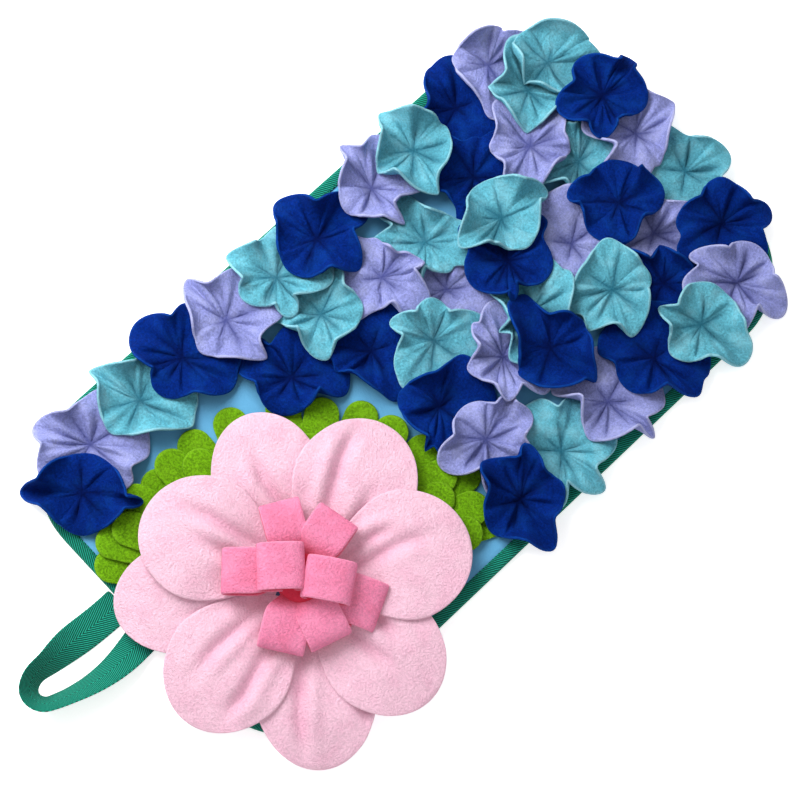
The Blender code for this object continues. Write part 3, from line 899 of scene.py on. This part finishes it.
def waves(random, turns, least, most, count):
    """A few ripples round the disc, each with its own number of crests."""
    total = np.zeros_like(turns)
    for _ in range(count):
        crests = random.integers(least, most)
        total += np.sin(crests * turns + random.uniform(0, FULL_TURN)) * random.uniform(0.5, 1)
    return total / count


def cloth_area(points):
    """The area of a ring-by-ring sheet, from the two diagonals of each of its cells."""
    closed = np.concatenate((points, points[:, :1]), axis=1)
    one = closed[1:, 1:] - closed[:-1, :-1]
    other = closed[1:, :-1] - closed[:-1, 1:]
    return np.linalg.norm(np.cross(one, other), axis=-1).sum() / 2


def gather(number, rosette):
    """The points of the gathered disc, ring by ring, and how deep each lies in a fold.

    The ruffles grow and the rim is let out, try by try, until the disc holds most of its cut cloth.
    """
    random = np.random.default_rng(number)
    turns = np.arange(SPOKES) * FULL_TURN / SPOKES
    reach, hidden = rim_of(rosette, turns)
    crests = crest_turns(random, rosette)
    phase, width = phase_of(crests, turns)
    crest = ((1 + np.cos(phase)) / 2) ** CREST_SHARP * (1 - hidden)
    strength = np.interp(turns, crests, random.uniform(RUFFLE_WEAKEST, 1, len(crests)), period=FULL_TURN)
    lean = np.interp(turns, crests, random.uniform(-LEAN, LEAN, len(crests)), period=FULL_TURN)
    flutter = FLUTTER * waves(random, turns, 7, 13, 3)
    creases = draw_creases(random)
    share = np.linspace(0, 1, RINGS + 1)[:, None]
    pinch = random.uniform(-PINCH, PINCH)
    pinched = -pinch * np.sin(phase) * width / FULL_TURN * (1 - hidden)
    turned = turns + (pinched + lean * crest * strength) * share**1.5
    longer = np.clip(reach + TUCK, reach, np.maximum(reach, TUCK_MOST))
    for effort in np.linspace(0, 1, RUFFLE_TRIES):
        ruffle = RUFFLE_LEAST + (RUFFLE_MOST - RUFFLE_LEAST) * effort
        fluttering = flutter * (1 + FLUTTER_GAIN * effort) * (1 - 0.5 * hidden)
        rise = RIM_LOW + ruffle * crest * strength + fluttering
        draw = CREST_DRAW * (1 - DRAW_EASED * effort) * crest * strength
        drawn = (reach * (1 - draw) + (longer - reach) * hidden) * (1 + LET_OUT * effort)
        out, height = bend_spokes(drawn, np.maximum(rise, LEAST_HEIGHT), share)
        valley = valleys(creases, turned, out)
        height = LEAST_HEIGHT + (height - LEAST_HEIGHT) * (1 - CREASE_DEPTH * valley)
        height[0] = STITCH_TOP
        east = rosette.x + out * np.cos(turned)
        north = rosette.y + out * np.sin(turned)
        points = np.stack((east, north, BASE_TOP + height), axis=-1)
        if cloth_area(points) > CLOTH_LEAST * CUT_AREA:
            break
    return points, valley


def spun_disc():
    """A flat disc of rings and spokes, each point at its ring number from the middle."""
    bm = bmesh.new()
    line = [bm.verts.new((ring, 0, 0)) for ring in range(RINGS + 1)]
    edges = [bm.edges.new(pair) for pair in zip(line, line[1:])]
    bmesh.ops.spin(
        bm,
        geom=line + edges,
        cent=(0, 0, 0),
        axis=(0, 0, 1),
        angle=FULL_TURN,
        steps=SPOKES,
        use_merge=True,
    )
    bmesh.ops.remove_doubles(bm, verts=bm.verts[:], dist=0.001)
    bmesh.ops.recalc_face_normals(bm, faces=bm.faces[:])
    if bm.faces[:][0].normal.z < 0:
        bmesh.ops.reverse_faces(bm, faces=bm.faces[:])
    return bm


def add_rosette(number, rosette):
    points, valley = gather(number, rosette)
    points = pile.settle(points, FLEECE, closed=True)
    bm = spun_disc()
    outs, deeps = [], []
    for vert in bm.verts:
        ring = round(vert.co.xy.length)
        spoke = round(math.atan2(vert.co.y, vert.co.x) / FULL_TURN * SPOKES) % SPOKES
        vert.co = points[ring, spoke]
        outs.append(ring / RINGS)
        deeps.append(valley[ring, spoke])
    mark(bm, "out", outs)
    # Painted shade: each crease round the stitch is coloured towards the fleece's deep shade.
    mark(bm, "fold", deeps)
    name = f"rosette_{number:02d}"
    piece = add_piece(f"gathered_{number:02d}", bm, rosette.colour, [name], wall=FLEECE)
    return piece


# %% [markdown]
# ## Leaf layers
#
# Round the flower lies a ruffle of leaf green: three bands of fleece, each cut into round tabs along
# its outer edge. They go down before anything else, under the rosettes and under the petals. Each is a
# strip of grid whose columns fan out round the flower's middle, short in the valleys and long on the
# tabs. The tabs curl up a little at their ends, some more than others.

# %% Lay the leaf layers
Tab = namedtuple("Tab", "turn reach")
COLLARS = {
    "leaf_collar_low": (
        Tab(65, 155), Tab(80, 154), Tab(94, 143), Tab(117, 141), Tab(143, 141),
        Tab(161, 139), Tab(175, 138), Tab(193, 137), Tab(208, 156), Tab(222, 148),
    ),
    "leaf_collar_mid": (
        Tab(70, 147), Tab(84, 139), Tab(106, 140), Tab(130, 136), Tab(185, 138),
        Tab(201, 145), Tab(215, 150),
    ),
    "leaf_collar_top": (Tab(63, 136), Tab(78, 128), Tab(178, 124), Tab(210, 141)),
}
TAB_RADIUS = 13
TAB_STEPS = 10
COLLAR_INNER = 84
COLLAR_VALLEY = 108
COLLAR_ROWS = 7
VALLEY_GAP = math.radians(1.2)
VALLEY_STEP = math.radians(4)
LEAF = 2.0
TAB_CURL = 2.5


def collar_columns(tabs):
    """Rows of a direction, the layer's reach there, and how far along the tab it is, from -1 to 1."""
    columns = []
    for tab in tabs:
        head = tab.reach - TAB_RADIUS
        half = math.asin(TAB_RADIUS / head)
        turn = math.radians(tab.turn)
        start = turn - half - VALLEY_GAP
        if columns:
            last = columns[-1][0]
            steps = max(1, round((start - last) / VALLEY_STEP))
            for step in range(1, steps):
                columns.append((last + (start - last) * step / steps, COLLAR_VALLEY))
        columns.append((start, COLLAR_VALLEY))
        for step in range(TAB_STEPS + 1):
            offset = half * math.sin(math.pi * (step / TAB_STEPS - 0.5))
            chord = math.sqrt(max(TAB_RADIUS**2 - (head * math.sin(offset)) ** 2, 0))
            columns.append((turn + offset, head * math.cos(offset) + chord))
        columns.append((turn + half + VALLEY_GAP, COLLAR_VALLEY))
    return columns


def add_collar(number, name, tabs):
    random = np.random.default_rng(100 + number)
    columns = collar_columns(tabs)
    turn, reach = np.array(columns).T
    share = np.linspace(0, 1, COLLAR_ROWS + 1)[:, None]
    out = COLLAR_INNER + (reach - COLLAR_INNER) * share
    beyond = np.clip((out - COLLAR_VALLEY) / 30, 0, 1)
    nearest = np.array([min(tabs, key=lambda tab: abs(math.radians(tab.turn) - t)).turn for t in turn])
    curl = TAB_CURL * np.sin(nearest * 1.7 + number)
    height = LEAF / 2 + REST + beyond**2 * (TAB_CURL + curl)
    height = height + 0.5 * waves(random, turn * 3, 6, 14, 4) * beyond
    points = np.stack(
        (FLOWER[0] + out * np.cos(turn), FLOWER[1] + out * np.sin(turn), BASE_TOP + height), axis=-1
    )
    points = pile.settle(points, LEAF, closed=False)
    bm = bmesh.new()
    last = len(columns) - 1
    bmesh.ops.create_grid(bm, x_segments=last, y_segments=COLLAR_ROWS, size=0.5)
    outs = []
    for vert in bm.verts:
        column = round((vert.co.x + 0.5) * last)
        row = round((vert.co.y + 0.5) * COLLAR_ROWS)
        vert.co = points[row, column]
        outs.append(row / COLLAR_ROWS)
    mark(bm, "out", outs)
    mark(bm, "fold", [0.0] * len(outs))
    piece = add_piece(name.replace("leaf_collar", "leaf_ruffle"), bm, "leaf", [name], wall=LEAF)
    sweep = turn[-1] - turn[0]
    depth = reach.max() - COLLAR_INNER
    slices = (reach[1:] ** 2 + reach[:-1] ** 2) / 2 - COLLAR_INNER**2
    area = (slices * np.diff(turn)).sum() / 2
    sweep * reach.max() * MM
    depth * MM
    area * MM * MM
    return piece


leaf_layers = [add_collar(number, *collar) for number, collar in enumerate(COLLARS.items(), 1)]
print("leaf layers:", [piece.name for piece in leaf_layers])

# %% Gather the rosettes, the lowest first
stack = sorted(enumerate(ROSETTES, 1), key=lambda row: ORDER[row[1]])
rosettes = [add_rosette(number, rosette) for number, rosette in stack]
heights = [max(vert.co.z for vert in piece.data.vertices) / MM for piece in rosettes]
print(len(rosettes), "rosettes, the highest", round(max(heights), 1), "mm")

# %% [markdown]
# ## The flower
#
# Eight petals of pale fleece are each cut with a round head, pleated where they meet the middle, and
# sewn down in three layers. A petal is a square grid pushed into a disc and then stretched along its
# length, which keeps its faces even in size right up to the round rim. A pleat is a soft trough with
# a low ridge on each side of it.

# %% Lay the petals
Petal = namedtuple("Petal", "turn reach width crown rim level pleats")
Pleat = namedtuple("Pleat", "start aside end drift")
PETALS = (
    Petal(155, 127, 82, 13, 8, 0, [Pleat(40, -10, 77, 4)]),
    Petal(235, 134, 84, 12, 4, 0, [Pleat(30, 10, 62, 14)]),
    Petal(324, 134, 88, 12, 4, 0, [Pleat(35, -4, 97, -13), Pleat(30, 14, 90, 34)]),
    Petal(108, 128, 92, 14, 9, 1, [Pleat(30, 4, 92, 18), Pleat(30, -9, 58, -14)]),
    Petal(5, 125, 88, 13, 6, 1, [Pleat(30, -3, 69, -4), Pleat(30, 9, 60, 16)]),
    Petal(277, 128, 92, 13, 5, 1, [Pleat(30, -10, 77, -15), Pleat(30, 9, 88, 21)]),
    Petal(60, 124, 96, 15, 10, 2, [Pleat(30, 10, 60, 18), Pleat(30, -2, 74, 9)]),
    Petal(204, 122, 92, 15, 10, 2, [Pleat(30, -9, 77, -15), Pleat(28, 5, 54, 3)]),
)
PETAL_CELLS = 28
PETAL_FILL = 0.72
PETAL_START = 17
PETAL_STEP = 3
PETAL_NECK = 0.56
NECK_SHARE = 0.65
ARCH_SHARE = 0.62
SIDE_DROP = 3
PLEAT_DEPTH = 5.5
PLEAT_WIDTH = 5.2
# How much painted shade the pleat troughs and the part of a petal near its root take.
PLEAT_SHADE = 0.45
ROOT_PLEAT = 3
ROOT_SHADE = 0.5
ROOT_SHARE = 0.42


def petal_points(number, petal):
    """The petal's points on a square grid, how far out each lies, and how much painted shade it takes."""
    random = np.random.default_rng(200 + number)
    line = np.linspace(-1, 1, PETAL_CELLS + 1)
    along, across = np.meshgrid(line, line, indexing="ij")
    run = along * np.sqrt(1 - across**2 / 2)
    side = across * np.sqrt(1 - along**2 / 2)
    share = (run + 1) / 2
    distance = PETAL_START + share * (petal.reach - PETAL_START)
    spread = np.sin(np.clip(share / NECK_SHARE, 0, 1) * math.pi / 2)
    offset = side * petal.width / 2 * (PETAL_NECK + (1 - PETAL_NECK) * spread)
    arch = smooth_step(share / ARCH_SHARE)
    fall = np.clip(share - ARCH_SHARE, 0, 1) / (1 - ARCH_SHARE)
    height = PETAL_STEP * petal.level + petal.crown * arch - (petal.crown - petal.rim) * fall**2
    height = height - SIDE_DROP * side**2 * np.sin(math.pi * share)
    deep = np.exp(-((offset / 6) ** 2)) * np.clip(1 - share / 0.5, 0, 1) * smooth_step(share / 0.1)
    height -= ROOT_PLEAT * deep
    for pleat in petal.pleats:
        step = np.clip((distance - pleat.start) / (pleat.end - pleat.start), 0, 1)
        middle = pleat.aside + (pleat.drift - pleat.aside) * step
        past = np.maximum(pleat.start - distance, 0) + np.maximum(distance - pleat.end, 0)
        ends = np.exp(-((past / 17) ** 2))
        across_it = (offset - middle) / PLEAT_WIDTH
        trough = ends * np.exp(-(across_it**2))
        ridge = ends * (np.exp(-((across_it - 1.6) ** 2)) + 0.3 * np.exp(-((across_it + 1.8) ** 2)))
        height += 0.6 * PLEAT_DEPTH * ridge - PLEAT_DEPTH * trough
        deep = np.maximum(deep, trough * PLEAT_SHADE)
    # Painted shade: the pleat troughs and the part of the petal near the root are coloured towards the
    # deeper pink.
    deep = np.maximum(deep * 0.6, ROOT_SHADE * np.clip(1 - share / ROOT_SHARE, 0, 1))
    rim = np.maximum(np.abs(along), np.abs(across))
    angle = np.arctan2(side, run)
    height += 1.0 * waves(random, angle, 3, 8, 4) * rim**3
    height += 0.5 * np.sin(distance * 0.16 + offset * 0.11 + number) * np.sin(offset * 0.13)
    turn = math.radians(petal.turn)
    x = FLOWER[0] + distance * math.cos(turn) - offset * math.sin(turn)
    y = FLOWER[1] + distance * math.sin(turn) + offset * math.cos(turn)
    z = BASE_TOP + GAP + FLEECE / 2 + np.maximum(height, 0)
    return np.stack((x, y, z), axis=-1), rim, deep


def add_petal(number, petal):
    points, rim, deep = petal_points(number, petal)
    points = pile.settle(points, FLEECE, closed=False)
    bm = bmesh.new()
    bmesh.ops.create_grid(bm, x_segments=PETAL_CELLS, y_segments=PETAL_CELLS, size=0.5)
    outs, deeps = [], []
    for vert in bm.verts:
        row = round((vert.co.x + 0.5) * PETAL_CELLS)
        column = round((vert.co.y + 0.5) * PETAL_CELLS)
        vert.co = points[row, column]
        outs.append(rim[row, column])
        deeps.append(deep[row, column])
    mark(bm, "out", outs)
    mark(bm, "fold", deeps)
    piece = add_piece(f"pleated_petal_{number}", bm, "petal", [f"petal_{number}"], wall=FLEECE)
    long = (petal.reach - PETAL_START) * MM
    wide = petal.width * MM
    long * wide * PETAL_FILL
    return piece


petals = [add_petal(number, petal) for number, petal in enumerate(PETALS, 1)]
print("petals:", [piece.name for piece in petals])

# %% [markdown]
# ## The flower's middle
#
# The middle is a bunch of loops in a stronger pink: strips of fleece bent back on themselves and sewn
# into a rolled root. From above one sees their rounded backs, the cut edges on both sides and the dark
# mouths at their ends. Each loop is the outline of a flattened oval, extruded by the strip's width and
# drawn in towards its root.

# %% Sew in the loops
Loop = namedtuple("Loop", "x y turn length width height under")
LOOPS = (
    Loop(-27, -22, 226, 42, 33, 17, 17),
    Loop(-32, 15, 152, 42, 30, 17, 17),
    Loop(-10, 30, 102, 40, 33, 18, 18),
    Loop(34, 16, 27, 44, 36, 15, 14),
    Loop(27, -9, 343, 42, 32, 17, 17),
    Loop(15, -28, 304, 42, 34, 16, 16),
    Loop(-15, -6, 229, 32, 34, 16, 29),
    Loop(15, 12, 36, 34, 31, 17, 28),
)
LOOP_RINGS = 30
LOOP_CELLS = 8
LOOP_WALL = 2.2
LOOP_NECK = 0.45
NECK_RUN = 17
LOOP_FLATTEN = 0.72
LOOP_ROUND = 0.9
TOP_LOOPS_FROM = 25
ROOT_RADIUS = 17.5
ROOT_TOP = 31
ROOT_SEGMENTS = 32


def add_loop(number, loop):
    random = np.random.default_rng(300 + number)
    bm = bmesh.new()
    bmesh.ops.create_circle(bm, segments=LOOP_RINGS, radius=1)
    for vert in bm.verts:
        flat = math.copysign(abs(vert.co.x) ** LOOP_FLATTEN, vert.co.x)
        tall = math.copysign(abs(vert.co.y) ** LOOP_ROUND, vert.co.y)
        vert.co = Vector((flat * loop.length / 2, -loop.width / 2, tall * loop.height / 2))
    edges = bm.edges[:]
    for _ in range(LOOP_CELLS):
        band = bmesh.ops.extrude_edge_only(bm, edges=edges)["geom"]
        edges = [item for item in band if isinstance(item, bmesh.types.BMEdge)]
        far = [item for item in band if isinstance(item, bmesh.types.BMVert)]
        bmesh.ops.translate(bm, verts=far, vec=(0, loop.width / LOOP_CELLS, 0))
    bmesh.ops.recalc_face_normals(bm, faces=bm.faces[:])
    sway, twist = random.uniform(-1, 1, 2)
    on_top = loop.under > TOP_LOOPS_FROM
    outs, deeps = [], []
    for vert in bm.verts:
        aside = abs(vert.co.y) / (loop.width / 2)
        outs.append(aside)
        run = vert.co.x + loop.length / 2
        neck = 1.0 if on_top else float(smooth_step(run / NECK_RUN))
        is_top = vert.co.z > 0
        vert.co.z = (vert.co.z + loop.height / 2) * (0.3 + 0.7 * neck)
        vert.co.z += 0.8 * sway * math.sin(vert.co.x * 0.13 + number) + twist * 0.08 * vert.co.y
        vert.co.y *= LOOP_NECK + (1 - LOOP_NECK) * neck
        # Painted shade: the lower half of the loop is painted dark all through, and the upper half darkens
        # where it is drawn in at the root.
        deeps.append(1 - neck if is_top else 0.8)
    mark(bm, "out", outs)
    mark(bm, "fold", deeps)
    turned = Matrix.Rotation(math.radians(loop.turn), 4, "Z")
    middle = Vector((FLOWER[0] + loop.x, FLOWER[1] + loop.y, loop.under))
    bmesh.ops.transform(bm, matrix=Matrix.Translation(middle) @ turned, verts=bm.verts[:])
    piece = add_piece(f"pink_loop_{number}", bm, "loop", ["centre_loops"], wall=LOOP_WALL)
    strip = 2 * (loop.length + loop.height * 0.6) * MM
    loop.width * MM
    return piece


def add_root():
    bm = bmesh.new()
    low = BASE_TOP + GAP
    bmesh.ops.create_cone(
        bm,
        cap_ends=True,
        segments=ROOT_SEGMENTS,
        radius1=ROOT_RADIUS,
        radius2=ROOT_RADIUS,
        depth=ROOT_TOP - low,
    )
    place = Vector((*FLOWER, (ROOT_TOP + low) / 2))
    bmesh.ops.translate(bm, verts=bm.verts[:], vec=place)
    rims = [edge for edge in bm.edges if len(edge.link_faces) == 2 and edge.calc_face_angle() > 1]
    bmesh.ops.bevel(
        bm, geom=rims, offset=3, offset_type="OFFSET", segments=3, profile=0.5, affect="EDGES", material=-1
    )
    mark(bm, "out", [0.0] * len(bm.verts))
    # Painted shade: the whole root takes the deep red of the shaded gaps between the loops.
    mark(bm, "fold", [1.0] * len(bm.verts))
    return add_piece("rolled_root", bm, "loop", ["centre_loops"], smoothing=0)


rolled_root = add_root()
middle_loops = [add_loop(number, loop) for number, loop in enumerate(LOOPS, 1)]
print("loops:", len(middle_loops))

# %% [markdown]
# ## Hanging loop
#
# A length of the same tape is sewn to the flower's end by its two ends, so that the mat can be hung up.
# It leaves the mat flat and turns up on its side at the tip, as a flat strip must when it is bent
# sideways into a loop. A few points along its inner edge, each with the tape's tilt, are joined by a
# smooth curve.

# %% Lay the hanging loop
TapePoint = namedtuple("TapePoint", "x y tilt")
HANGING_TAPE = (
    TapePoint(-7, -270.4, 0), TapePoint(-7, -282, 0), TapePoint(-7.5, -295, 2),
    TapePoint(-8.5, -308, 10), TapePoint(-10.5, -322, 28), TapePoint(-13, -336, 48),
    TapePoint(-15, -346, 58), TapePoint(-14, -351.5, 62), TapePoint(-11.5, -354.2, 62),
    TapePoint(-8.5, -354.4, 62), TapePoint(-5.5, -352.3, 60), TapePoint(-3.5, -347.5, 58),
    TapePoint(-0.5, -338, 55), TapePoint(2, -324, 47), TapePoint(2.5, -310, 36),
    TapePoint(1, -296, 22), TapePoint(-1.5, -283, 8), TapePoint(-3, -270.4, 0),
)
TAPE_SUBSTEPS = 4
TAPE_CELLS = 6


def smooth_line(points, substeps):
    """A curve through the points, with each stretch cut into substeps."""
    padded = np.concatenate((2 * points[:1] - points[1:2], points, 2 * points[-1:] - points[-2:-1]))
    found = []
    for number in range(len(points) - 1):
        before, start, end, after = padded[number : number + 4]
        for step in range(substeps):
            share = step / substeps
            found.append(
                0.5
                * (
                    2 * start
                    + (end - before) * share
                    + (2 * before - 5 * start + 4 * end - after) * share**2
                    + (3 * start - before - 3 * end + after) * share**3
                )
            )
    return np.array(found + [points[-1]])


def add_hanging_loop():
    line = smooth_line(np.array(HANGING_TAPE, float), TAPE_SUBSTEPS)
    ahead = np.gradient(line[:, :2], axis=0)
    ahead /= np.linalg.norm(ahead, axis=1, keepdims=True)
    outward = np.stack((ahead[:, 1], -ahead[:, 0]), axis=1)
    outward[0] = (-1, 0)
    outward[-1] = (1, 0)
    tilt = np.radians(line[:, 2:])
    lean = np.concatenate((outward * np.cos(tilt), np.sin(tilt)), axis=1)
    inner = np.concatenate((line[:, :2], np.full((len(line), 1), TAPE_THICK)), axis=1)
    middle = inner + lean * TAPE_WIDTH / 2
    travelled = np.concatenate(([0], np.cumsum(np.linalg.norm(np.diff(middle, axis=0), axis=1))))
    bm = bmesh.new()
    last = len(line) - 1
    bmesh.ops.create_grid(bm, x_segments=last, y_segments=TAPE_CELLS, size=0.5)
    uv = bm.loops.layers.uv.new("tape")
    for face in bm.faces:
        for loop in face.loops:
            column = round((loop.vert.co.x + 0.5) * last)
            loop[uv].uv = (travelled[column] * MM, loop.vert.co.y * TAPE_WIDTH * MM)
    for vert in bm.verts:
        column = round((vert.co.x + 0.5) * last)
        cup = 0.8 * (1 - (2 * vert.co.y) ** 2)
        vert.co = Vector(inner[column] + lean[column] * TAPE_WIDTH * (vert.co.y + 0.5))
        vert.co.z += cup * math.sin(math.pi * column / last)
    piece = add_piece("tape_loop", bm, "tape", ["hanging_loop"], wall=TAPE_THICK)
    return piece, travelled[-1]


tape_loop, tape_length = add_hanging_loop()
print(f"hanging loop from {tape_length:.0f} mm of tape")

# %% [markdown]
# ## Floor
#
# The mat lies on a plain white surface. The floor is staging and no part of the mat. A little light of
# its own keeps it close to white without washing the shadow away.

# %% Put down the floor
FLOOR_SIZE = 8
FLOOR_GLOW = 0.55


def add_floor():
    bm = bmesh.new()
    bmesh.ops.create_grid(bm, x_segments=1, y_segments=1, size=FLOOR_SIZE / 2)
    mesh = bpy.data.meshes.new("floor")
    bm.to_mesh(mesh)
    bm.free()
    recipe = Recipe("white floor")
    where = recipe.node("ShaderNodeTexCoord", output=3)
    tone = recipe.noise(where, 3, 2.0, 0.5)
    paint = recipe.mix(tone, (0.9, 0.9, 0.9, 1), (0.94, 0.94, 0.94, 1))
    recipe.put(recipe.shader.inputs["Base Color"], paint)
    recipe.shader.inputs["Emission Color"].default_value = (1, 1, 1, 1)
    recipe.shader.inputs["Emission Strength"].default_value = FLOOR_GLOW
    recipe.shader.inputs["Roughness"].default_value = 1.0
    recipe.shader.inputs["Specular IOR Level"].default_value = 0.0
    mesh.materials.append(recipe.material)
    floor = bpy.data.objects.new("floor", mesh)
    collection.objects.link(floor)
    return floor


floor = add_floor()
print("floor:", floor.name)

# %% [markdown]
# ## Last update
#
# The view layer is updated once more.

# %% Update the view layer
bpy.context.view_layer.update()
